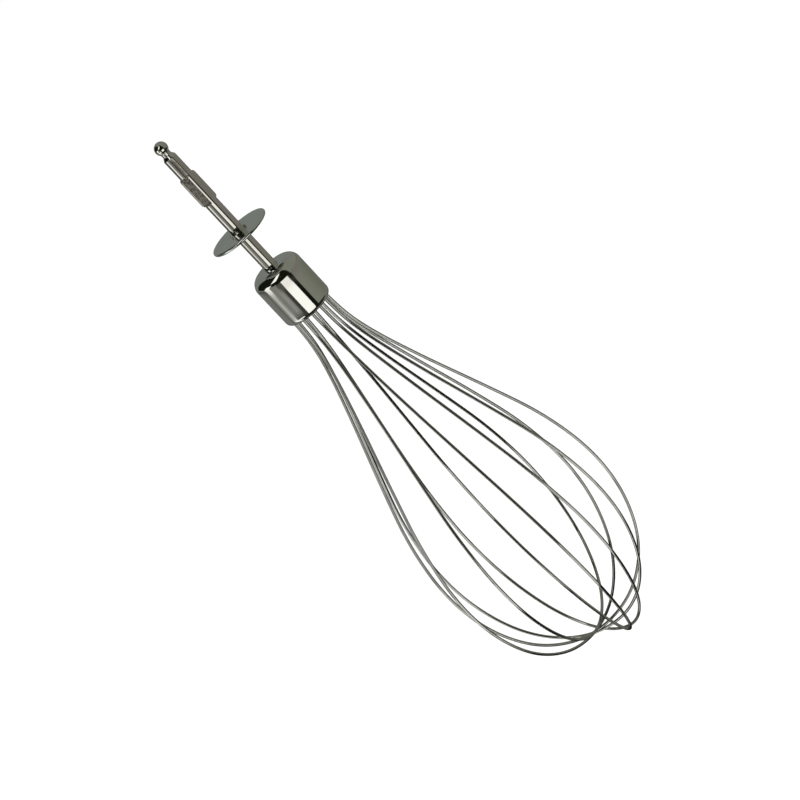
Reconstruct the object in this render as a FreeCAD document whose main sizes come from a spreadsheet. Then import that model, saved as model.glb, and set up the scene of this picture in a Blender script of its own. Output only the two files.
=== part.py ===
import FreeCAD, Part
import math
import os
import Sketcher

# A balloon whisk attachment for a mixer: a steel spindle with a ball end and two pressed drive
# wings, a splash disc, a drawn steel ferrule, and six wire loops whose twelve ends sit on a ring
# inside the ferrule.  Millimetres.  +Z runs up the spindle towards its ball end, and the balloon
# hangs below.  The origin is on the spindle's axis, at the upper face of the splash disc.

SIZES = {
    # spindle, heights above the splash disc's upper face
    "journal_dia": 6.2,
    "shank_dia": 6.2,
    "neck_dia": 4.2,
    "ball_dia": 6.1,
    "ball_height": 47.6,
    "neck_low": 43.9,
    "journal_top": 42.4,
    "wing_top": 32.4,
    "wing_low": 17.1,
    "wing_span": 7.9,
    "wing_thick": 2.6,
    "wing_round": 1.4,
    "waist_dia": 5.8,
    "waist_step": 0.2,
    "press_inset": 0.4,
    "press_margin": 1.0,
    "witness_width": 1.8,
    "ear_span": 8.2,
    "ear_rise": 0.7,
    "ear_thick": 1.0,
    "flange_dia": 9.0,
    "flange_thick": 1.2,
    "tail_dia": 4.6,
    "rivet_dia": 6.6,
    "rivet_thick": 0.8,
    # splash disc
    "disc_dia": 28.4,
    "disc_thick": 1.5,
    # ferrule, a drawn cup with a big shoulder and a lip rolled in round the wires
    "ferrule_dia": 23.7,
    "ferrule_top": 20.6,
    "ferrule_long": 24.8,
    "ferrule_wall": 0.8,
    "shoulder_round": 5.0,
    "lip_round": 2.6,
    "lip_turn": 60.0,
    "spindle_gap": 0.1,
    # hub inside the ferrule, depths below the ferrule's top
    "clamp_dia": 17.0,
    "clamp_thick": 1.0,
    "core_dia": 21.5,
    "core_long": 17.0,
    "core_chamfer": 1.2,
    "seat_dia": 14.4,
    "seat_rise": 0.95,
    "washer_dia": 13.0,
    "washer_thick": 0.8,
    "seal_dia": 20.0,
    "seal_thick": 0.7,
    "plate_dia": 19.2,
    "plate_thick": 0.8,
    # wires
    "wire_dia": 1.4,
    "wire_hole_dia": 1.45,
    "ring_dia": 18.0,
    "hook_long": 3.4,
    "balloon_long": 200.0,
    "balloon_dia": 91.0,
}

# Half of a wire loop's outline below the ferrule: share of the balloon's length, share of its
# radius.  The straight wire leaves the ferrule first, and the last point and its mirror image
# make the flat of the tip.
OUTLINE = [(0.110, 0.250), (0.240, 0.430), (0.410, 0.700), (0.550, 0.905),
           (0.695, 1.000), (0.825, 0.925), (0.935, 0.680), (1.000, 0.260)]
STRAIGHT_OUT = 5.5      # straight wire below the ferrule before the splay starts
TWIST_FADE = 50.0       # drop over which a loop turns from its two sockets to its own plane
SOCKETS = 12
FIRST_SOCKET = -7.0     # degrees round +Z from -Y towards +X
SIDE_DRIFT = 1.6        # how far the whole balloon hangs off towards +X at its tip
ARC_SHARE = 0.45        # part of a run that the arc at its end takes up
VOLUME_SLACK = 0.01     # how far a swept wire's volume may be from its section times its length
LEAST_CUT = 0.01        # mm3 that a cut has to take away to count

# Each loop: direction of its plane, degrees from -Y towards +X; share of the full width; how much
# deeper than the balloon's length its tip hangs, so that the loops pass over each other; and how
# far its tip leans along its own plane, because bent wires never come out quite alike.
LOOPS = [(8.5, 0.99, -0.7, 17.5), (35.0, 0.84, 6.9, 5.0), (56.0, 1.04, 4.1, -3.0),
         (98.5, 1.02, 2.2, 4.0), (111.0, 0.93, -0.1, -6.0), (148.5, 1.03, -2.4, -0.5)]


class Size:
    """A length worked out from the sheet: its value now and the expression that keeps it so."""

    def __init__(self, value, text):
        self.value = value
        self.text = text

    def join(self, sign, other, value):
        text = other.text if isinstance(other, Size) else str(other)
        return Size(value, "(%s %s %s)" % (self.text, sign, text))

    def __add__(self, other):
        return self.join("+", other, self.value + number(other))

    def __sub__(self, other):
        return self.join("-", other, self.value - number(other))

    def __mul__(self, other):
        return self.join("*", other, self.value * number(other))

    def __truediv__(self, other):
        return self.join("/", other, self.value / number(other))


def number(item):
    return item.value if isinstance(item, Size) else item


def root(item):
    return Size(math.sqrt(item.value), "sqrt(%s)" % item.text)


def turned(item, angle, name):
    """item times the sine or cosine, as name says, of an angle held in the sheet in degrees."""
    factor = getattr(math, name)(math.radians(angle.value))
    return Size(item.value * factor, "(%s * %s(%s * 1 deg))" % (item.text, name, angle.text))


doc = FreeCAD.newDocument("balloon_whisk")
sheet = doc.addObject("Spreadsheet::Sheet", "Sizes")
for row, (alias, value) in enumerate(SIZES.items(), start=1):
    sheet.set("A%d" % row, alias)
    sheet.set("B%d" % row, str(value))
    sheet.setAlias("B%d" % row, alias)
doc.recompute()


def size(alias):
    return Size(float(sheet.get(alias)), "Sizes." + alias)


def half(alias):
    return size(alias) / 2


# ---------------------------------------------------------------- helpers

def stand(piece, height, angle=0.0):
    """Put a piece's own base at a sheet height, turned round Z by an angle in degrees."""
    turn = FreeCAD.Rotation(FreeCAD.Vector(0, 0, 1), angle)
    piece.Placement = FreeCAD.Placement(FreeCAD.Vector(0, 0, height.value), turn)
    piece.setExpression("Placement.Base.z", height.text)


def new_body(name, height, angle=0.0):
    body = doc.addObject("PartDesign::Body", name)
    body.Label = name
    stand(body, height, angle)
    return body


def plane_of(body, role):
    return next(item for item in body.Origin.OriginFeatures if item.Role == role)


def new_sketch(body, name, role, offset=None):
    """A sketch on one of the body's own planes, or at an offset along that plane's normal."""
    sketch = body.newObject("Sketcher::SketchObject", name)
    sketch.AttachmentSupport = [(plane_of(body, role), "")]
    sketch.MapMode = "FlatFace"
    if offset is not None:
        shift = FreeCAD.Vector(0, 0, offset.value)
        sketch.AttachmentOffset = FreeCAD.Placement(shift, FreeCAD.Rotation())
        sketch.setExpression("AttachmentOffset.Base.z", offset.text)
    return sketch


def pin_down(sketch, kind, geometry, position, length):
    """Hold one coordinate of a sketch point at a sheet length from the sketch's origin."""
    rule = Sketcher.Constraint(kind, -1, 1, geometry, position, length.value)
    index = sketch.addConstraint(rule)
    sketch.setExpression("Constraints[%d]" % index, length.text)


def arc_between(start, end, radius, left):
    """The short arc of a radius from start to end, its centre to the left or right of the way."""
    chord = end - start
    middle = (start + end) * 0.5
    across = FreeCAD.Vector(-chord.y, chord.x, 0).normalize()
    reach = math.sqrt(max(radius ** 2 - (chord.Length / 2) ** 2, 0.0))
    centre = middle + across * (reach if left else -reach)
    begin, stop = (start, end) if left else (end, start)
    first = math.atan2(begin.y - centre.y, begin.x - centre.x)
    last = math.atan2(stop.y - centre.y, stop.x - centre.x)
    circle = Part.Circle(centre, FreeCAD.Vector(0, 0, 1), radius)
    return Part.ArcOfCircle(circle, first, last)


def draw_outline(sketch, corners):
    """A closed outline.  A corner is (x, y), or (x, y, radius, side) where an arc leads on."""
    spots = [FreeCAD.Vector(corner[0].value, corner[1].value, 0) for corner in corners]
    ends = []
    for index, corner in enumerate(corners):
        start, end = spots[index], spots[(index + 1) % len(spots)]
        if len(corner) == 2:
            geometry = sketch.addGeometry(Part.LineSegment(start, end))
            ends.append((geometry, 1, 2))
        else:
            left = corner[3] == "left"
            geometry = sketch.addGeometry(arc_between(start, end, corner[2].value, left))
            ends.append((geometry, 1, 2) if left else (geometry, 2, 1))
    for index, corner in enumerate(corners):
        geometry, start_point, _ = ends[index]
        before, _, before_end = ends[index - 1]
        sketch.addConstraint(Sketcher.Constraint("Coincident", before, before_end, geometry, start_point))
        pin_down(sketch, "DistanceX", geometry, start_point, corner[0])
        pin_down(sketch, "DistanceY", geometry, start_point, corner[1])
        if len(corner) == 4:
            rule = sketch.addConstraint(Sketcher.Constraint("Radius", geometry, corner[2].value))
            sketch.setExpression("Constraints[%d]" % rule, corner[2].text)


def draw_circle(sketch, radius, across=None):
    """A circle on the sketch's origin, or moved across it along X."""
    offset = 0.0 if across is None else across.value
    circle = Part.Circle(FreeCAD.Vector(offset, 0, 0), FreeCAD.Vector(0, 0, 1), radius.value)
    geometry = sketch.addGeometry(circle)
    if across is None:
        sketch.addConstraint(Sketcher.Constraint("Coincident", geometry, 3, -1, 1))
    else:
        sketch.addConstraint(Sketcher.Constraint("PointOnObject", geometry, 3, -1))
        pin_down(sketch, "DistanceX", geometry, 3, across)
    rule = sketch.addConstraint(Sketcher.Constraint("Radius", geometry, radius.value))
    sketch.setExpression("Constraints[%d]" % rule, radius.text)


def revolve(body, name, corners):
    """Turn an outline drawn in the XZ plane once round the body's Z axis."""
    sketch = new_sketch(body, name + "_outline", "XZ_Plane")
    draw_outline(sketch, corners)
    turn = body.newObject("PartDesign::Revolution", name)
    turn.Profile = sketch
    turn.ReferenceAxis = (sketch, ["V_Axis"])
    turn.Angle = 360.0
    doc.recompute()


def pad(body, name, corners, thick):
    """Pad an outline drawn in the XZ plane evenly to both sides of it."""
    sketch = new_sketch(body, name + "_outline", "XZ_Plane")
    draw_outline(sketch, corners)
    feature = body.newObject("PartDesign::Pad", name)
    feature.Profile = sketch
    feature.Length = thick.value
    feature.setExpression("Length", thick.text)
    feature.Midplane = True
    doc.recompute()


def press(body, name, corners, level):
    """Cut away what stands outside a level in front of the XZ plane, or behind it if negative."""
    before = body.Shape.Volume
    sketch = new_sketch(body, name + "_outline", "XZ_Plane", level)
    draw_outline(sketch, corners)
    feature = body.newObject("PartDesign::Pocket", name)
    feature.Profile = sketch
    feature.Type = 1
    feature.Reversed = level.value > 0
    doc.recompute()
    require(body.Shape.Volume < before - LEAST_CUT, name + " cuts nothing")


def rectangle(left, low, right, high):
    return [(left, low), (right, low), (right, high), (left, high)]


def ring_of_holes(body, name, count, hole_radius, ring_radius):
    """One through hole on the ring, repeated round Z."""
    sketch = new_sketch(body, name + "_circle", "XY_Plane")
    draw_circle(sketch, hole_radius, ring_radius)
    hole = body.newObject("PartDesign::Pocket", name)
    hole.Profile = sketch
    hole.Type = 1
    hole.Midplane = True
    pattern = body.newObject("PartDesign::PolarPattern", name + "_pattern")
    pattern.Originals = [hole]
    pattern.Axis = (sketch, ["N_Axis"])
    pattern.Angle = 360.0
    pattern.Occurrences = count
    body.Tip = pattern
    doc.recompute()


def washer(name, outside, inside, thick, height):
    """A plain ring whose underside lies at a height."""
    rim = doc.addObject("Part::Cylinder", name + "_rim")
    bore = doc.addObject("Part::Cylinder", name + "_bore")
    for solid, radius in ((rim, outside), (bore, inside)):
        solid.setExpression("Radius", radius.text)
        solid.setExpression("Height", thick.text)
    ring = doc.addObject("Part::Cut", name)
    ring.Label = name
    ring.Base = rim
    ring.Tool = bore
    stand(ring, height)


# ---------------------------------------------------------------- heights

zero = Size(0.0, "0")
ferrule_top = zero - size("ferrule_top")
ferrule_low = ferrule_top - size("ferrule_long")
flange_top = ferrule_top - size("ferrule_wall")
clamp_top = flange_top - size("flange_thick")
clamp_low = clamp_top - size("clamp_thick")
core_top = clamp_low - size("wire_dia")
core_low = core_top - size("core_long")
washer_low = core_low - size("washer_thick")
spindle_low = washer_low - size("rivet_thick")
seal_low = spindle_low - size("seal_thick")
plate_low = seal_low - size("plate_thick")


# ---------------------------------------------------------------- pieces

def rise(level):
    """A height above the splash disc's face, as measured from the spindle's own lowest point."""
    return level - spindle_low


def make_spindle():
    """One turned and pressed rod, from the peened tail inside the ferrule to the ball end."""
    body = new_body("spindle", spindle_low)
    tail, rivet = half("tail_dia"), half("rivet_dia")
    shank, journal = half("shank_dia"), half("journal_dia")
    neck, ball, waist = half("neck_dia"), half("ball_dia"), half("waist_dia")
    ball_low = size("ball_height") - root(ball * ball - neck * neck)
    step = size("waist_step")
    revolve(body, "rod", [
        (zero, zero),
        (rivet, zero),
        (rivet, size("rivet_thick")),
        (tail, size("rivet_thick")),
        (tail, rise(clamp_top)),
        (half("flange_dia"), rise(clamp_top)),
        (half("flange_dia"), rise(flange_top)),
        (shank, rise(flange_top)),
        (shank, rise(size("wing_low") - step)),
        (waist, rise(size("wing_low"))),
        (waist, rise(size("wing_top"))),
        (journal, rise(size("wing_top") + step)),
        (journal, rise(size("journal_top"))),
        (neck, rise(size("neck_low"))),
        (neck, rise(ball_low), ball, "left"),
        (zero, rise(size("ball_height") + ball)),
    ])
    add_wings(body)
    add_ears(body)


def add_wings(body):
    """Two drive wings pressed out of the rod's waist, and the flats that the press left."""
    reach, bevel, margin = half("wing_span"), size("wing_round"), size("press_margin")
    low, high = rise(size("wing_low")), rise(size("wing_top"))
    left = zero - reach
    pad(body, "wings", [
        (left, low + bevel, bevel, "left"),
        (left + bevel, low),
        (reach - bevel, low, bevel, "left"),
        (reach, low + bevel),
        (reach, high - bevel, bevel, "left"),
        (reach - bevel, high),
        (left + bevel, high, bevel, "left"),
        (left, high - bevel),
    ], size("wing_thick"))
    # one wing is pressed flat from the front and the other from the back
    inset, flat = size("press_inset"), half("wing_thick")
    press(body, "press_front", rectangle(left - margin, low, zero - inset, high), flat)
    press(body, "press_back", rectangle(inset, low, reach + margin, high), zero - flat)
    # shallow witness flats of the same press along the journal
    journal = half("journal_dia")
    witness = root(journal * journal - half("witness_width") * half("witness_width"))
    span = rectangle(zero - journal, high, journal, rise(size("journal_top")))
    press(body, "witness_front", span, witness)
    press(body, "witness_back", span, zero - witness)


def add_ears(body):
    """Two small ears staked out of the rod on top of the splash disc, which hold it down."""
    reach = half("ear_span")
    base = rise(zero)
    pad(body, "ears", rectangle(zero - reach, base, reach, base + size("ear_rise")), size("ear_thick"))


def make_splash_disc():
    """A flat disc with a round rim, pressed on the spindle."""
    thick = size("disc_thick")
    rim = thick / 2
    body = new_body("splash_disc", zero - thick)
    revolve(body, "disc", [
        (half("shank_dia"), zero),
        (half("disc_dia") - rim, zero, rim, "left"),
        (half("disc_dia"), rim, rim, "left"),
        (half("disc_dia") - rim, thick),
        (half("shank_dia"), thick),
    ])


def make_ferrule():
    """A drawn cup, mouth down: flat top with the spindle's hole, big shoulder, rolled lip."""
    body = new_body("ferrule", ferrule_low)
    wall, outer = size("ferrule_wall"), half("ferrule_dia")
    shoulder, lip, turn = size("shoulder_round"), size("lip_round"), size("lip_turn")
    top = size("ferrule_long")
    hole = half("shank_dia") + size("spindle_gap")
    bend = turned(lip, turn, "sin")
    inner_lip = lip - wall
    revolve(body, "cup", [
        (hole, top - wall),
        (outer - shoulder, top - wall, shoulder - wall, "right"),
        (outer - wall, top - shoulder),
        (outer - wall, bend, inner_lip, "right"),
        (outer - lip + turned(inner_lip, turn, "cos"), bend - turned(inner_lip, turn, "sin")),
        (outer - lip + turned(lip, turn, "cos"), zero, lip, "left"),
        (outer, bend),
        (outer, top - shoulder, shoulder, "left"),
        (outer - shoulder, top),
        (hole, top),
    ])


def make_hub_core():
    """The moulded core that holds the twelve wire ends on their ring."""
    body = new_body("hub_core", core_low, FIRST_SOCKET)
    outer, bevel, top = half("core_dia"), size("core_chamfer"), size("core_long")
    shelf = top - size("seat_rise")
    revolve(body, "core", [
        (half("tail_dia"), zero),
        (outer, zero),
        (outer, shelf - bevel),
        (outer - bevel, shelf),
        (half("seat_dia"), shelf),
        (half("seat_dia"), top),
        (half("tail_dia"), top),
    ])
    ring_of_holes(body, "wire_hole", SOCKETS, half("wire_hole_dia"), half("ring_dia"))


def make_mouth_seal():
    """The soft seal round the wires, under the core."""
    body = new_body("mouth_seal", seal_low, FIRST_SOCKET)
    revolve(body, "seal", rectangle(zero, zero, half("seal_dia"), size("seal_thick")))
    ring_of_holes(body, "wire_hole", SOCKETS, half("wire_hole_dia"), half("ring_dia"))


def make_end_plate():
    """The plate that closes the mouth, notched round its edge for the wires."""
    body = new_body("end_plate", plate_low, FIRST_SOCKET)
    revolve(body, "plate", rectangle(zero, zero, half("plate_dia"), size("plate_thick")))
    ring_of_holes(body, "notch", SOCKETS, half("wire_hole_dia"), half("ring_dia"))


# ---------------------------------------------------------------- wire loops

def spot(radius, angle, height):
    """A point at a radius from the spindle's axis, angle from -Y towards +X in degrees."""
    turn = math.radians(angle)
    return FreeCAD.Vector(radius * math.sin(turn), -radius * math.cos(turn), height)


def loop_corners(index, plane, width, deeper, lean):
    """The corners of one wire's route, from its first hooked end round the tip to its second."""
    socket = FIRST_SOCKET + index * 360.0 / SOCKETS
    ring, full, long = size("ring_dia").value / 2, size("balloon_dia").value / 2, size("balloon_long").value
    rim = ferrule_low.value
    hook_height = core_top.value + size("wire_dia").value / 2
    side = []
    for turn in (1, -1):
        corners = [spot(turn * (ring - size("hook_long").value), socket, hook_height),
                   spot(turn * ring, socket, hook_height),
                   spot(turn * ring, socket, rim - STRAIGHT_OUT)]
        for share, reach in OUTLINE:
            drop = share * long
            angle = plane + (socket - plane) * math.exp((STRAIGHT_OUT - drop) / TWIST_FADE)
            corner = spot(turn * reach * full * (1 + (width - 1) * min(1.0, 2 * share)), angle,
                          rim - drop - deeper * share ** 2)
            aside = FreeCAD.Vector(SIDE_DRIFT * (drop - STRAIGHT_OUT) / long, 0, 0)
            corners.append(corner + spot(lean * share ** 2, plane, 0.0) + aside)
        side.append(corners)
    return side[0] + side[1][::-1]


def smooth_route(corners):
    """Straight runs joined by tangent arcs, each as large as its two runs allow."""
    edges, start, length = [], corners[0], 0.0
    for before, corner, after in zip(corners, corners[1:], corners[2:]):
        incoming, outgoing = corner - before, after - corner
        turn = incoming.getAngle(outgoing)
        reach = ARC_SHARE * min(incoming.Length, outgoing.Length)
        radius = reach / math.tan(turn / 2)
        toward, away = incoming.normalize(), outgoing.normalize()
        first, last = corner - toward * reach, corner + away * reach
        bend = (away - toward).normalize()
        middle = corner + bend * (radius / math.cos(turn / 2) - radius)
        edges.append(Part.makeLine(start, first))
        edges.append(Part.Arc(first, middle, last).toShape())
        length += (first - start).Length + radius * turn
        start = last
    edges.append(Part.makeLine(start, corners[-1]))
    return edges, length + (corners[-1] - start).Length


def make_wire_loop(index, loop):
    """One spring-steel wire, bent into a loop, with both ends hooked inwards over the core."""
    corners = loop_corners(index, *loop)
    edges, length = smooth_route(corners)
    radius = size("wire_dia").value / 2
    section = Part.Wire(Part.makeCircle(radius, corners[0], corners[1] - corners[0]))
    solid = Part.Wire(edges).makePipeShell([section], True, False)
    wanted = math.pi * radius ** 2 * length
    require(abs(solid.Volume / wanted - 1) < VOLUME_SLACK, "wire loop %d has a wrong volume" % (index + 1))
    piece = doc.addObject("Part::Feature", "wire_loop_%d" % (index + 1))
    piece.Label = piece.Name
    piece.Shape = solid
    return length


def require(truth, message):
    if not truth:
        raise RuntimeError(message)


# ---------------------------------------------------------------- the assembly

make_spindle()
make_splash_disc()
make_ferrule()
clamp_bore = half("tail_dia")
washer("clamp_washer", half("clamp_dia"), clamp_bore, size("clamp_thick"), clamp_low)
make_hub_core()
washer("rivet_washer", half("washer_dia"), clamp_bore, size("washer_thick"), washer_low)
make_mouth_seal()
make_end_plate()
for index, loop in enumerate(LOOPS):
    length = make_wire_loop(index, loop)
    print("wire_loop_%d is %.0f mm of wire" % (index + 1, length))
doc.recompute()

pieces = ["spindle", "splash_disc", "ferrule", "clamp_washer", "hub_core", "rivet_washer",
          "mouth_seal", "end_plate"] + ["wire_loop_%d" % (index + 1) for index in range(len(LOOPS))]
for item in doc.Objects:
    require(not {"Invalid", "Error"} & set(item.State), item.Name + " did not build")
os.makedirs("parts", exist_ok=True)
for name in pieces:
    shape = doc.getObject(name).Shape
    require(not shape.isNull() and shape.isValid(), name + " has no valid shape")
    require(len(shape.Solids) == 1, name + " is not one solid")
for name in pieces:
    shape = doc.getObject(name).Shape
    shape.exportStep("parts/%s.step" % name)
    box = shape.BoundBox
    print("%-13s %8.1f mm3   z %.2f .. %.2f" % (name, shape.Volume, box.ZMin, box.ZMax))
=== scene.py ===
import math
import bpy
import numpy as np
from mathutils import Matrix, Vector


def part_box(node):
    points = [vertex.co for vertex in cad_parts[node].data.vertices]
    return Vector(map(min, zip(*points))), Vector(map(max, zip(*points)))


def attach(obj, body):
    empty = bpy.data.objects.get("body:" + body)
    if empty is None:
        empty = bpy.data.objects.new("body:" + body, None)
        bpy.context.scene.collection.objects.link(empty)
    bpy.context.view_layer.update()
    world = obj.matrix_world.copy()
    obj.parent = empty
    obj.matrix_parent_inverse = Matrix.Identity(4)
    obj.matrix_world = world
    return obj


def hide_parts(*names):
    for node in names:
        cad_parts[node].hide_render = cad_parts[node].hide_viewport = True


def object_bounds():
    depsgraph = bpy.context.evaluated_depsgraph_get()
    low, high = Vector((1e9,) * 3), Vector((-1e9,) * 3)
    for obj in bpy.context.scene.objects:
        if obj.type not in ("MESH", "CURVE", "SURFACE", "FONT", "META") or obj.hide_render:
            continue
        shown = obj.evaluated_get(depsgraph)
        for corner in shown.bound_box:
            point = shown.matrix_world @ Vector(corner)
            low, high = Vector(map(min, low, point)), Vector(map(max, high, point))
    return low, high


# The balloon whisk attachment of a mixer.  Shapes are written in millimetres in the part's own
# frame, +Z up the spindle with the splash disc's upper face at zero, and scaled to metres when
# a mesh or curve is made.

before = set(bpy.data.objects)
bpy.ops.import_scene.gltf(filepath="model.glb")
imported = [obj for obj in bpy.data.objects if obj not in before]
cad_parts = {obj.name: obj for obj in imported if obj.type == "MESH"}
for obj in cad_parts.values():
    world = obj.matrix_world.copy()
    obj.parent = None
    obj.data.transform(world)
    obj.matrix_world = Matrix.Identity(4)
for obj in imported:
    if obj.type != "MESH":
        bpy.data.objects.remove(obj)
cad_low, cad_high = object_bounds()
MM = 0.001

# The spindle's radii, half widths and heights: its wings and how they were pressed, the journal
# and neck, the ball and the journal's flats, the ears over the disc, and, inside the ferrule, the
# flange, tail and rivet.
WING_REACH, WING_HALF, PRESS_INSET, WING_ROUND = 3.95, 1.3, 0.3, 1.4
WING_LOW, WING_TOP = 17.1, 32.4
JOURNAL, JOURNAL_TOP, NECK, NECK_LOW = 3.1, 42.4, 2.1, 43.9
BALL, BALL_AT, WITNESS_HALF = 3.05, 47.6, 0.62
EAR_REACH, EAR_RISE, EAR_HALF = 4.1, 0.7, 0.5
FLANGE, FLANGE_TOP, FLANGE_LOW, TAIL, RIVET, RIVET_RISE = 4.5, -21.4, -22.6, 2.3, 3.3, 0.8


def heights(node):
    """Lowest and highest Z of a CAD node, in millimetres."""
    low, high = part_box(node)
    return low[2] / MM, high[2] / MM


def reach(node):
    """Largest radius of a round CAD node, in millimetres."""
    low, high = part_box(node)
    return (high[0] - low[0]) / 2 / MM


# ---------------------------------------------------------------- mesh and curve helpers

def arc(centre, radius, start, end, step):
    """Points (radius, height) of an arc, one every few degrees from its start to its end angle."""
    count = max(2, round(abs(end - start) / step))
    angles = [math.radians(start + (end - start) * k / count) for k in range(count + 1)]
    return [(centre[0] + radius * math.cos(a), centre[1] + radius * math.sin(a)) for a in angles]


def make_mesh(name, points, faces, crease=40.0):
    """A smooth-shaded mesh object from points in millimetres, sharp at edges above an angle."""
    mesh = bpy.data.meshes.new(name)
    mesh.from_pydata([tuple(float(c) * MM for c in p) for p in points], [], faces)
    mesh.validate()
    mesh.shade_smooth()
    mesh.set_sharp_from_angle(angle=math.radians(crease))
    piece = bpy.data.objects.new(name, mesh)
    bpy.context.scene.collection.objects.link(piece)
    return piece


def lathe(name, profile, segments=240):
    """Turn a closed profile, counter-clockwise in (radius, height), once round Z."""
    count = len(profile)
    points, faces = [], []
    for k in range(segments):
        a = 2 * math.pi * k / segments
        points += [(r * math.sin(a), -r * math.cos(a), z) for r, z in profile]
        here, there = k * count, (k + 1) % segments * count
        for i in range(count):
            j = (i + 1) % count
            faces.append((here + i, there + i, there + j, here + j))
    return make_mesh(name, points, faces)


def finish_piece(piece, node, material):
    piece.data.materials.append(material)
    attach(piece, "root")
    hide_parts(node)


# ---------------------------------------------------------------- material helpers

def add(tree, kind, settings=None, **inputs):
    """A shader node with its settings, and its inputs set to values or linked to sockets."""
    made = tree.nodes.new("ShaderNode" + kind)
    for key, value in (settings or {}).items():
        setattr(made, key, value)
    for key, value in inputs.items():
        socket = made.inputs[int(key[1:])] if key[1:].isdigit() else made.inputs[key.replace("_", " ")]
        if isinstance(value, bpy.types.NodeSocket):
            tree.links.new(value, socket)
        else:
            socket.default_value = value
    return made


def maths(tree, operation, first, second=0.0):
    return add(tree, "Math", {"operation": operation}, i0=first, i1=second).outputs[0]


def remap(tree, value, low, high, new_low, new_high, kind="LINEAR"):
    made = add(tree, "MapRange", {"interpolation_type": kind, "clamp": True}, Value=value,
               From_Min=low, From_Max=high, To_Min=new_low, To_Max=new_high)
    return made.outputs[0]


def window(tree, value, low, high, soft):
    """1 where a value lies between low and high, fading to 0 over a soft edge on either side."""
    rise = remap(tree, value, low - soft, low + soft, 0.0, 1.0, "SMOOTHSTEP")
    fall = remap(tree, value, high - soft, high + soft, 1.0, 0.0, "SMOOTHSTEP")
    return maths(tree, "MULTIPLY", rise, fall)


def blend_colours(tree, share, first, second):
    made = add(tree, "Mix", {"data_type": "RGBA"})
    for index, value in ((0, share), (6, first), (7, second)):
        if isinstance(value, bpy.types.NodeSocket):
            tree.links.new(value, made.inputs[index])
        else:
            made.inputs[index].default_value = value
    return made.outputs[2]


def noise(tree, where, scale, detail=4.0, roughness=0.55, distortion=0.0):
    made = add(tree, "TexNoise", Vector=where, Scale=scale, Detail=detail, Roughness=roughness,
               Distortion=distortion)
    return made.outputs["Fac"]


def new_material(name):
    material = bpy.data.materials.new(name)
    material.use_nodes = True
    tree = material.node_tree
    tree.nodes.clear()
    surface = add(tree, "BsdfPrincipled")
    output = add(tree, "OutputMaterial")
    tree.links.new(surface.outputs[0], output.inputs[0])
    where = add(tree, "TexCoord").outputs["Object"]
    return material, tree, surface, where


def bump(tree, surface, height, strength, distance):
    made = add(tree, "Bump", Height=height, Strength=strength, Distance=distance)
    tree.links.new(made.outputs[0], surface.inputs["Normal"])


# ---------------------------------------------------------------- materials

def polished_steel(name, tint, shade, rough, lines):
    """Bright steel: a slight tint that varies, handling smudges and fine polishing lines."""
    material, tree, surface, where = new_material(name)
    surface.inputs["Metallic"].default_value = 1.0
    cloud = noise(tree, where, 90.0, 5.0)
    colour = blend_colours(tree, remap(tree, cloud, 0.35, 0.7, 0.0, 1.0), tint, shade)
    tree.links.new(colour, surface.inputs["Base Color"])
    smudge = noise(tree, where, 260.0, 6.0, 0.65, 0.6)
    streak = noise(tree, add(tree, "Mapping", Vector=where, Scale=lines).outputs[0], 1.0, 3.0)
    smudge, faint = maths(tree, "MULTIPLY", smudge, 0.6), maths(tree, "MULTIPLY", streak, 0.4)
    mixed = maths(tree, "ADD", smudge, faint)
    roughness = remap(tree, mixed, 0.35, 0.65, rough[0], rough[1])
    tree.links.new(roughness, surface.inputs["Roughness"])
    bump(tree, surface, streak, 0.05, 0.00002)
    return material, tree, surface, where, colour, roughness


def ferrule_material():
    return polished_steel("ferrule_chrome", (0.76, 0.76, 0.73, 1), (0.70, 0.70, 0.66, 1),
                          (0.03, 0.07), (300, 300, 5000))[0]


def disc_material():
    return polished_steel("disc_steel", (0.74, 0.76, 0.73, 1), (0.68, 0.70, 0.67, 1),
                          (0.14, 0.22), (2500, 2500, 2500))[0]


def wire_material():
    return polished_steel("wire_steel", (0.60, 0.60, 0.58, 1), (0.46, 0.46, 0.44, 1),
                          (0.03, 0.08), (1500, 1500, 150))[0]


def pressed_places(tree, where):
    """1 on both flats of the journal and on the one pressed face of each wing, 0 elsewhere."""
    x, y, z = add(tree, "SeparateXYZ", Vector=where).outputs
    journal = window(tree, z, (WING_TOP - 0.6) * MM, (JOURNAL_TOP - 0.1) * MM, 0.4 * MM)
    flats = maths(tree, "MULTIPLY", journal, window(tree, x, -0.9 * MM, 0.6 * MM, 0.12 * MM))
    # x times y is positive on the pressed side of either wing
    side = maths(tree, "MULTIPLY", x, y)
    side = remap(tree, side, 0.2 * MM * MM, 0.4 * MM * MM, 0.0, 1.0)
    height = window(tree, z, WING_LOW * MM, WING_TOP * MM, 0.4 * MM)
    deep, wide = (WING_HALF + 0.15) * MM, (WING_REACH - 0.55) * MM
    face = maths(tree, "MULTIPLY", window(tree, y, -deep, deep, 0.1 * MM),
                 window(tree, x, -wide, wide, 0.1 * MM))
    wings = maths(tree, "MULTIPLY", maths(tree, "MULTIPLY", side, height), face)
    return maths(tree, "MAXIMUM", flats, wings), x


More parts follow.
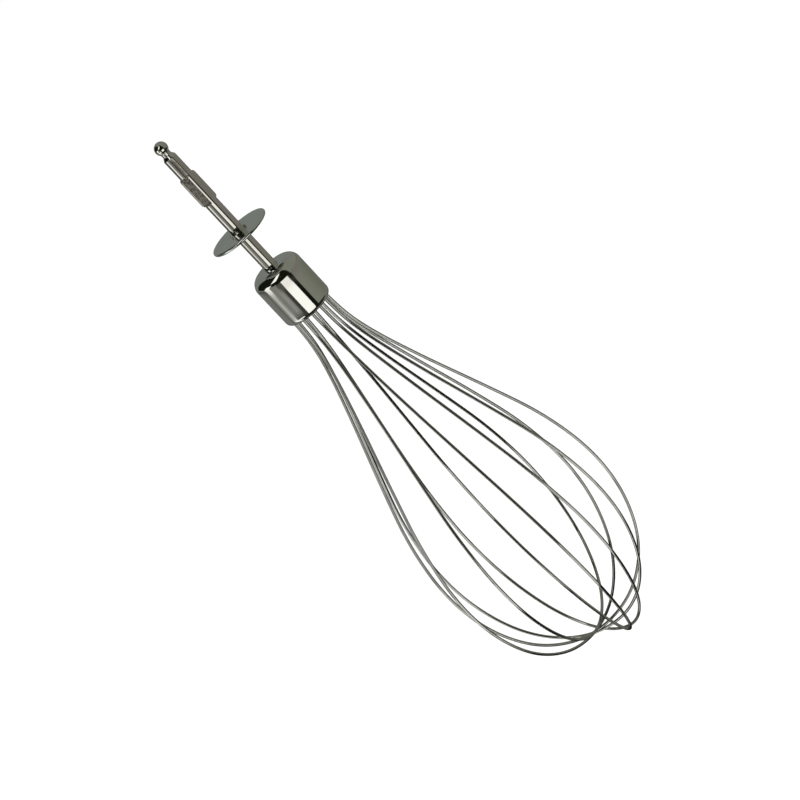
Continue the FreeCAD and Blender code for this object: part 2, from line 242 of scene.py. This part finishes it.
def spindle_material():
    """Bright drawn rod, dull and mottled where the press has marked its flats and wings, with a painted
    highlight and painted shade across those marks.
    """
    parts = polished_steel("spindle_steel", (0.74, 0.74, 0.70, 1), (0.66, 0.65, 0.60, 1),
                           (0.05, 0.10), (4000, 4000, 120))
    material, tree, surface, where, colour, roughness = parts
    pressed, x = pressed_places(tree, where)
    blotch = noise(tree, where, 1300.0, 6.0, 0.7, 0.6)
    patch = remap(tree, blotch, 0.38, 0.62, 0.72, 1.0)
    dull = maths(tree, "MULTIPLY", pressed, patch)
    cloud = remap(tree, noise(tree, where, 500.0, 3.0), 0.4, 0.6, 0.0, 1.0)
    stain_and_painted_light = blend_colours(tree, cloud, (0.24, 0.215, 0.175, 1), (0.13, 0.112, 0.09, 1))
    # painted highlight and shade: the right half of the marks is painted paler than the left
    painted_light_across = remap(tree, x, -0.4 * MM, 0.3 * MM, 0.55, 1.7)
    stain_and_painted_light = add(tree, "VectorMath", {"operation": "SCALE"}, i0=stain_and_painted_light, Scale=painted_light_across).outputs[0]
    tree.links.new(blend_colours(tree, dull, colour, stain_and_painted_light), surface.inputs["Base Color"])
    roughness = maths(tree, "ADD", roughness, maths(tree, "MULTIPLY", dull, 0.32))
    tree.links.new(roughness, surface.inputs["Roughness"])
    return material


def stamped_steel(name):
    """Plain stamped washer steel with a grey, fine-grained skin."""
    material, tree, surface, where = new_material(name)
    surface.inputs["Metallic"].default_value = 1.0
    cloud = noise(tree, where, 700.0, 5.0)
    colour = blend_colours(tree, cloud, (0.50, 0.50, 0.48, 1), (0.66, 0.66, 0.64, 1))
    tree.links.new(colour, surface.inputs["Base Color"])
    tree.links.new(remap(tree, cloud, 0.3, 0.7, 0.25, 0.42), surface.inputs["Roughness"])
    bump(tree, surface, noise(tree, where, 6000.0, 2.0), 0.15, 0.00002)
    return material


def soft_material(name, colour, shade, rough, grain, strength):
    """Moulded plastic or rubber with a fine moulded grain."""
    material, tree, surface, where = new_material(name)
    cloud = noise(tree, where, 400.0, 4.0)
    tree.links.new(blend_colours(tree, cloud, colour, shade), surface.inputs["Base Color"])
    tree.links.new(remap(tree, cloud, 0.3, 0.7, rough - 0.06, rough + 0.06), surface.inputs["Roughness"])
    bump(tree, surface, noise(tree, where, grain, 3.0), strength, 0.00003)
    return material


# ---------------------------------------------------------------- ferrule and splash disc

def make_ferrule(material):
    """Drawn cup: a rounded edge at the spindle's hole, big shoulder, straight skirt, rolled lip."""
    low, top = heights("ferrule")
    outer = reach("ferrule")
    wall, shoulder, lip, turn, hole, edge = 0.8, 5.0, 2.6, 60.0, 3.2, 0.35
    centre, bend = outer - shoulder, low + lip * math.sin(math.radians(turn))
    mouth = (outer - lip, bend)
    nose = math.radians(-turn)
    middle = lip - wall / 2
    tip = (mouth[0] + middle * math.cos(nose), mouth[1] + middle * math.sin(nose))
    profile = arc(tip, wall / 2, -turn - 180.0, -turn, 20.0)[1:-1]
    profile += arc(mouth, lip, -turn, 0.0, 4.0)
    profile += arc((centre, top - shoulder), shoulder, 0.0, 90.0, 3.0)
    profile += arc((hole + edge, top - edge), edge, 90.0, 180.0, 15.0)
    profile += [(hole, top - wall), (centre, top - wall)]
    profile += arc((centre, top - shoulder), shoulder - wall, 90.0, 0.0, 6.0)[1:]
    profile += arc(mouth, lip - wall, 0.0, -turn, 6.0)
    piece = lathe("ferrule_shell", profile)
    finish_piece(piece, "ferrule", material)


def make_disc(material):
    """Flat stamped disc with a fully round rim and a slightly rounded bore."""
    low, top = heights("splash_disc")
    outer, bore, edge = reach("splash_disc"), 3.1, 0.12
    rim = (top - low) / 2
    profile = arc((outer - rim, low + rim), rim, -90.0, 90.0, 9.0)
    profile += arc((bore + edge, top - edge), edge, 90.0, 180.0, 30.0)
    profile += arc((bore + edge, low + edge), edge, 180.0, 270.0, 30.0)
    piece = lathe("splash_disc_plate", profile)
    finish_piece(piece, "splash_disc", material)


# ---------------------------------------------------------------- spindle

def smooth_step(value, low, high):
    share = np.clip((value - low) / (high - low), 0.0, 1.0)
    return share * share * (3 - 2 * share)


def stretch(rows, low, top, soft):
    """1 between two heights and 0 outside them, with a soft start and end inside."""
    return smooth_step(rows, low, low + soft) * smooth_step(-rows, -top, -top + soft)


def rod_radius(z, low):
    """Radius of the plain turned rod at each height, without wings, ears and flats."""
    stations = [(low, RIVET), (low + RIVET_RISE, RIVET), (low + RIVET_RISE, TAIL), (FLANGE_LOW, TAIL),
                (FLANGE_LOW, FLANGE), (FLANGE_TOP, FLANGE), (FLANGE_TOP, JOURNAL),
                (JOURNAL_TOP, JOURNAL), (NECK_LOW, NECK), (BALL_AT + BALL, NECK)]
    plain = np.interp(z, [s[0] + k * 1e-6 for k, s in enumerate(stations)], [s[1] for s in stations])
    ball = np.sqrt(np.maximum(BALL ** 2 - (z - BALL_AT) ** 2, 0.0))
    return np.where(z > BALL_AT, ball, np.maximum(plain, ball))


def wing_radius(angle, span):
    """Radius across the pressed wings at an angle in degrees from -Y, alike on both sides.

    One side of each wing slopes from the rod to its tip, and the other is pressed flat, with a
    step where the press stopped short of the middle."""
    turn = np.radians(np.mod(angle, 180.0))
    sine, cosine = np.maximum(np.sin(turn), 1e-6), np.maximum(np.abs(np.cos(turn)), 1e-6)
    slope = np.where(turn > math.pi / 4, JOURNAL / np.maximum(np.cos(turn - math.pi / 4), 0.2), JOURNAL)
    tip = span / sine
    front = np.minimum(slope, tip)
    pressed = np.minimum(np.maximum(WING_HALF / cosine, PRESS_INSET / sine), tip)
    back = np.where(turn > math.radians(150.0), np.minimum(pressed, JOURNAL), pressed)
    return np.where(turn < math.pi / 2, front, back)


def ear_radius(angle):
    """Radius of a thin bar across the rod, whose two ends are the ears."""
    turn = np.radians(angle)
    sine, cosine = np.abs(np.sin(turn)) + 1e-6, np.abs(np.cos(turn)) + 1e-6
    return np.minimum(EAR_REACH / sine, EAR_HALF / cosine)


def flat_radius(angle):
    """Radius of the journal where the press has left a narrow flat in front and behind."""
    level = math.sqrt(JOURNAL ** 2 - WITNESS_HALF ** 2)
    return np.minimum(JOURNAL, level / (np.abs(np.cos(np.radians(angle))) + 1e-6))


def soften(values, spread, axis):
    """Round every edge a little with a small weighted average along one axis of the grid."""
    offsets = np.arange(-3 * spread, 3 * spread + 1)
    weights = np.exp(-0.5 * (offsets / spread) ** 2)
    weights /= weights.sum()
    if axis == 1:
        return sum(w * np.roll(values, int(o), axis=1) for w, o in zip(weights, offsets))
    padded = np.pad(values, ((3 * spread, 3 * spread), (0, 0)), mode="edge")
    return sum(w * padded[k:k + len(values)] for k, w in enumerate(weights))


def make_spindle(material):
    """The rod as a grid of radii over height and angle, closed at both ends."""
    low, top = heights("spindle")
    step, columns = 0.1, 288
    z = np.arange(low, top, step)
    angle = np.arange(columns) * 360.0 / columns
    rows, turns = np.meshgrid(z, angle, indexing="ij")
    radius = rod_radius(rows, low)
    inside = WING_ROUND - np.minimum(rows - WING_LOW, WING_TOP - rows)
    corner = WING_ROUND - np.sqrt(np.maximum(WING_ROUND ** 2 - np.clip(inside, 0, WING_ROUND) ** 2, 0))
    wings = wing_radius(turns, WING_REACH - corner)
    radius = radius + (wings - radius) * stretch(rows, WING_LOW, WING_TOP, 0.3)
    ears = np.where((rows > 0) & (rows < EAR_RISE), ear_radius(turns), 0.0)
    radius = np.maximum(radius, ears)
    flats = stretch(rows, WING_TOP, JOURNAL_TOP, 0.4)
    radius = radius + (np.minimum(flat_radius(turns), radius) - radius) * flats
    radius = soften(soften(radius, 2, 1), 1, 0)
    across, back = radius * np.sin(np.radians(turns)), -radius * np.cos(np.radians(turns))
    points = np.stack([across, back, rows], -1).reshape(-1, 3).tolist()
    faces = []
    for i in range(len(z) - 1):
        for k in range(columns):
            here, there = i * columns + k, i * columns + (k + 1) % columns
            faces.append((here, there, there + columns, here + columns))
    faces += cap(points, 0, columns, low, False)
    faces += cap(points, (len(z) - 1) * columns, columns, top, True)
    piece = make_mesh("spindle_rod", points, faces, 55.0)
    finish_piece(piece, "spindle", material)


def cap(points, start, columns, height, upward):
    """Close a ring of the grid with a fan round a point on the axis."""
    points.append((0.0, 0.0, height))
    middle = len(points) - 1
    pairs = [(start + k, start + (k + 1) % columns) for k in range(columns)]
    return [(a, b, middle) if upward else (b, a, middle) for a, b in pairs]


# ---------------------------------------------------------------- wire loops

# These repeat the part's own wire routes: half an outline as (share of the balloon's length,
# share of its radius), and for each loop its plane, width, extra depth and lean.
OUTLINE = [(0.110, 0.250), (0.240, 0.430), (0.410, 0.700), (0.550, 0.905),
           (0.695, 1.000), (0.825, 0.925), (0.935, 0.680), (1.000, 0.260)]
LOOPS = [(8.5, 0.99, -0.7, 17.5), (35.0, 0.84, 6.9, 5.0), (56.0, 1.04, 4.1, -3.0),
         (98.5, 1.02, 2.2, 4.0), (111.0, 0.93, -0.1, -6.0), (148.5, 1.03, -2.4, -0.5)]
STRAIGHT_OUT, TWIST_FADE, FIRST_SOCKET, SOCKETS = 5.5, 50.0, -7.0, 12
RING, HOOK, HALF_WIDTH, LONG, WIRE = 9.0, 3.4, 45.5, 200.0, 0.70
HOOK_HEIGHT, SIDE_DRIFT = -24.3, 1.6


def spot(radius, angle, height):
    turn = math.radians(angle)
    return Vector((radius * math.sin(turn), -radius * math.cos(turn), height))


def loop_points(index, plane, width, deeper, lean):
    """Corners of one loop's route, from its hook down one side and up the other to its hook."""
    socket = FIRST_SOCKET + index * 360.0 / SOCKETS
    rim = heights("ferrule")[0]
    sides = []
    for turn in (1, -1):
        side = [spot(turn * (RING - HOOK), socket, HOOK_HEIGHT), spot(turn * RING, socket, HOOK_HEIGHT),
                spot(turn * RING, socket, rim - STRAIGHT_OUT)]
        for share, out in OUTLINE:
            drop = share * LONG
            angle = plane + (socket - plane) * math.exp((STRAIGHT_OUT - drop) / TWIST_FADE)
            radius = turn * out * HALF_WIDTH * (1 + (width - 1) * min(1.0, 2 * share))
            corner = spot(radius, angle, rim - drop - deeper * share ** 2)
            aside = Vector((SIDE_DRIFT * (drop - STRAIGHT_OUT) / LONG, 0.0, 0.0))
            side.append(corner + spot(lean * share ** 2, plane, 0.0) + aside)
        sides.append(side)
    return sides[0] + sides[1][::-1]


def make_wire(index, loop, material):
    """One loop of round wire, smoothed between its route's corners."""
    points = loop_points(index, *loop)
    curve = bpy.data.curves.new("wire_%d" % (index + 1), "CURVE")
    curve.dimensions = "3D"
    curve.bevel_depth = WIRE * MM
    curve.bevel_resolution = 6
    curve.use_fill_caps = True
    spline = curve.splines.new("NURBS")
    spline.points.add(len(points) - 1)
    for target, point in zip(spline.points, points):
        target.co = (*(point * MM), 1.0)
    spline.order_u = 3
    spline.use_endpoint_u = True
    spline.resolution_u = 24
    piece = bpy.data.objects.new("wire_%d" % (index + 1), curve)
    bpy.context.scene.collection.objects.link(piece)
    finish_piece(piece, "wire_loop_%d" % (index + 1), material)


# ---------------------------------------------------------------- studio

GREY, BLACK = (0.235, 0.24, 0.20, 1), (0.008, 0.009, 0.006, 1)
WHITE, CREAM = (1.28, 1.28, 1.23, 1), (1.12, 1.10, 1.05, 1)
ROD_TOP, SKIRT_TOP, SKIRT_LOW = -1.0, -15.25, -18.6

# What the bright metal reflects, painted in order: where, as (left, right, low, high, soft edge,
# slant), and the colour.  Left and right are degrees round Z from the front, low and high degrees
# above the horizon, and a slanted card shifts to the right by its slant for each degree upwards.
# The upright rod reflects the directions from SKIRT_TOP to ROD_TOP, and the ferrule's skirt those
# from SKIRT_LOW to SKIRT_TOP.
CARDS = [
    # side walls, and the ceiling behind, which the disc and the ferrule's top face reflect
    ((95, 200, -90, 5, 45, 0), (0.165, 0.175, 0.14, 1)),
    ((-165, -30, -90, 0, 6, 0), (0.20, 0.205, 0.19, 1)),
    ((130, 230, 5, 60, 8, 0), (0.212, 0.228, 0.21, 1)),
    # the dark front above the camera, with two lamps hung in it at a slant
    ((-136, 38, 3, 68, 3, 0), BLACK),
    ((-55, 38, -9, 8, 3, 0), BLACK),
    ((-83, -54, 25, 62, 4, 1.0), WHITE),
    ((-99, -72, -13, 15, 4, 1.0), WHITE),
    # what the ferrule's skirt shows left and right of its white band
    ((-100, -34, SKIRT_LOW, SKIRT_TOP, 3, 0), (0.27, 0.275, 0.255, 1)),
    ((-69, -56, SKIRT_LOW, SKIRT_TOP, 5, 0), (0.235, 0.24, 0.22, 1)),
    ((-52, -40, SKIRT_LOW, SKIRT_TOP, 4, 0), (0.32, 0.325, 0.30, 1)),
    ((-93, -73, SKIRT_LOW, SKIRT_TOP, 5, 0), (0.42, 0.43, 0.40, 1)),
    ((-87, -82, SKIRT_LOW, SKIRT_TOP, 2, 0), (0.66, 0.67, 0.63, 1)),
    ((-110, -102, SKIRT_LOW, SKIRT_TOP, 1.5, 0), (0.14, 0.14, 0.125, 1)),
    # lower down, what the wires and the ferrule's lip show: dark, with narrow bright strips
    ((-105, -15, -70, SKIRT_LOW, 4, 0), (0.04, 0.04, 0.035, 1)),
    ((15, 95, -70, -24, 5, 0), (0.02, 0.02, 0.017, 1)),
    ((-95, -76, -60, SKIRT_LOW, 2, 0), WHITE),
    ((-33, -15, -66, SKIRT_TOP, 5, 0), (0.05, 0.05, 0.042, 1)),
    ((21.5, 40, -66, SKIRT_TOP, 1, 0), BLACK),
    ((-18, 22.5, -40, SKIRT_TOP, 0.8, 0), WHITE),
    ((-70, 45, -90, -42, 4, 0), BLACK),
    ((-75, -42, -38, -21, 2, 0), WHITE),
    # what the rod shows
    ((-146, -97, SKIRT_TOP, ROD_TOP, 2, 0), (0.11, 0.108, 0.10, 1)),
    ((-97, -38, SKIRT_TOP, ROD_TOP, 3, 0), (0.25, 0.245, 0.23, 1)),
    ((-94, -72, SKIRT_TOP, ROD_TOP, 2, 0), CREAM),
    ((-42, -16, SKIRT_TOP, -9, 3, 0), (0.09, 0.088, 0.075, 1)),
    ((24, 43, SKIRT_TOP, -9, 1, 0), BLACK),
    ((-17, 20, SKIRT_TOP, -9, 0.8, 0), CREAM),
    ((43, 150, SKIRT_TOP, ROD_TOP, 4, 0), (0.212, 0.200, 0.178, 1)),
    # the dark floor behind the whisk, which the disc's underside throws on the ferrule's top
    ((150, 210, -85, SKIRT_LOW, 4, 0), (0.02, 0.02, 0.018, 1)),
]


def paint_tent(tree, position):
    """The colour of the reflected studio in each direction."""
    colour = GREY
    height = add(tree, "SeparateXYZ", Vector=position).outputs[2]
    lift = maths(tree, "ARCSINE", height)
    for (left, right, low, high, soft, slant), card in CARDS:
        middle, half = math.radians((left + right) / 2), math.radians((right - left) / 2)
        turned = add(tree, "VectorRotate", {"rotation_type": "Z_AXIS"}, Vector=position, Angle=-middle)
        parts = add(tree, "SeparateXYZ", Vector=turned.outputs[0]).outputs
        back = maths(tree, "MULTIPLY", parts[1], -1.0)
        around = maths(tree, "ARCTAN2", parts[0], back)
        leaning = maths(tree, "SUBTRACT", around, maths(tree, "MULTIPLY", lift, slant))
        across = window(tree, leaning, -half, half, math.radians(soft))
        along = window(tree, lift, math.radians(low), math.radians(high), 0.006)
        colour = blend_colours(tree, maths(tree, "MULTIPLY", across, along), colour, card)
    return colour


def make_tent():
    """A sphere that only the metal's reflections see: grey walls with white and black cards."""
    bpy.ops.mesh.primitive_ico_sphere_add(subdivisions=5, radius=3.0)
    tent = bpy.context.object
    tent.name = "light_tent"
    material = bpy.data.materials.new("light_tent")
    material.use_nodes = True
    tree = material.node_tree
    tree.nodes.clear()
    spot_on = add(tree, "TexCoord").outputs["Object"]
    unit = add(tree, "VectorMath", {"operation": "NORMALIZE"}, i0=spot_on).outputs[0]
    glow = add(tree, "Emission", Color=paint_tent(tree, unit), Strength=1.0)
    tree.links.new(glow.outputs[0], add(tree, "OutputMaterial").inputs[0])
    material.cycles.emission_sampling = "NONE"
    tent.data.materials.append(material)
    for kind in ("camera", "diffuse", "transmission", "volume_scatter", "shadow"):
        setattr(tent, "visible_" + kind, False)


FLOOR_GAP = 0.08


def make_floor():
    """Pale floor, far enough under the whisk that no shadow shows on it."""
    bpy.ops.mesh.primitive_plane_add(size=40.0, location=(0, 0, cad_low[2] - FLOOR_GAP))
    floor = bpy.context.object
    floor.name = "floor"
    floor.visible_glossy = False
    material, _, surface, _ = new_material("floor_paint")
    surface.inputs["Base Color"].default_value = (0.94, 0.94, 0.94, 1)
    surface.inputs["Roughness"].default_value = 0.9
    floor.data.materials.append(material)


def make_lights():
    """Even white light from all round, which the metal doesn't reflect, and a soft lamp."""
    world = bpy.data.worlds.new("studio")
    bpy.context.scene.world = world
    world.use_nodes = True
    world.node_tree.nodes["Background"].inputs[0].default_value = (1, 1, 1, 1)
    world.node_tree.nodes["Background"].inputs[1].default_value = 1.13
    world.cycles_visibility.glossy = False
    lamp = bpy.data.lights.new("soft_lamp", "AREA")
    lamp.shape = "DISK"
    lamp.size = 1.2
    lamp.energy = 6.0
    holder = bpy.data.objects.new("soft_lamp", lamp)
    holder.location = (0.5, -0.8, 1.3)
    holder.rotation_euler = Vector(holder.location).to_track_quat("Z", "Y").to_euler()
    holder.visible_glossy = False
    holder.visible_camera = False
    bpy.context.scene.collection.objects.link(holder)


AZIMUTH, ELEVATION, ROLL = -1.39, 19.22, 42.97
DISTANCE, LENS, AIM_ACROSS, AIM_HEIGHT = 1120.3, 117.29, 1.44, -103.22


def make_camera():
    """The photograph's view: from a little above, rolled so that the spindle points up left."""
    a, e, roll = math.radians(AZIMUTH), math.radians(ELEVATION), math.radians(ROLL)
    back = Vector((math.sin(a) * math.cos(e), -math.cos(a) * math.cos(e), math.sin(e)))
    right = Vector((math.cos(a), math.sin(a), 0.0))
    up = back.cross(right)
    across = right * math.cos(roll) - up * math.sin(roll)
    upright = up * math.cos(roll) + right * math.sin(roll)
    aim = Vector((AIM_ACROSS * math.cos(a), AIM_ACROSS * math.sin(a), AIM_HEIGHT))
    camera = bpy.data.objects.new("camera", bpy.data.cameras.new("camera"))
    bpy.context.scene.collection.objects.link(camera)
    turn = Matrix((across, upright, back)).transposed()
    camera.matrix_world = Matrix.Translation((aim + back * DISTANCE) * MM) @ turn.to_4x4()
    camera.data.lens = LENS
    camera.data.sensor_width = 36.0
    bpy.context.scene.camera = camera


# ---------------------------------------------------------------- the whole picture

make_spindle(spindle_material())
make_ferrule(ferrule_material())
make_disc(disc_material())
wire_steel = wire_material()
for index, loop in enumerate(LOOPS):
    make_wire(index, loop, wire_steel)

washer_steel, plate_steel = stamped_steel("washer_steel"), stamped_steel("plate_steel")
core_plastic = soft_material("core_plastic", (0.035, 0.035, 0.037, 1), (0.05, 0.05, 0.05, 1),
                             0.5, 5000.0, 0.1)
seal_rubber = soft_material("seal_rubber", (0.012, 0.012, 0.012, 1), (0.02, 0.02, 0.02, 1),
                            0.65, 3000.0, 0.2)
for node, material in (("clamp_washer", washer_steel), ("rivet_washer", washer_steel),
                       ("end_plate", plate_steel), ("hub_core", core_plastic),
                       ("mouth_seal", seal_rubber)):
    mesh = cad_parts[node].data
    mesh.materials.clear()
    mesh.materials.append(material)

make_tent()
make_floor()
make_lights()
make_camera()
bpy.context.scene.view_settings.view_transform = "Standard"
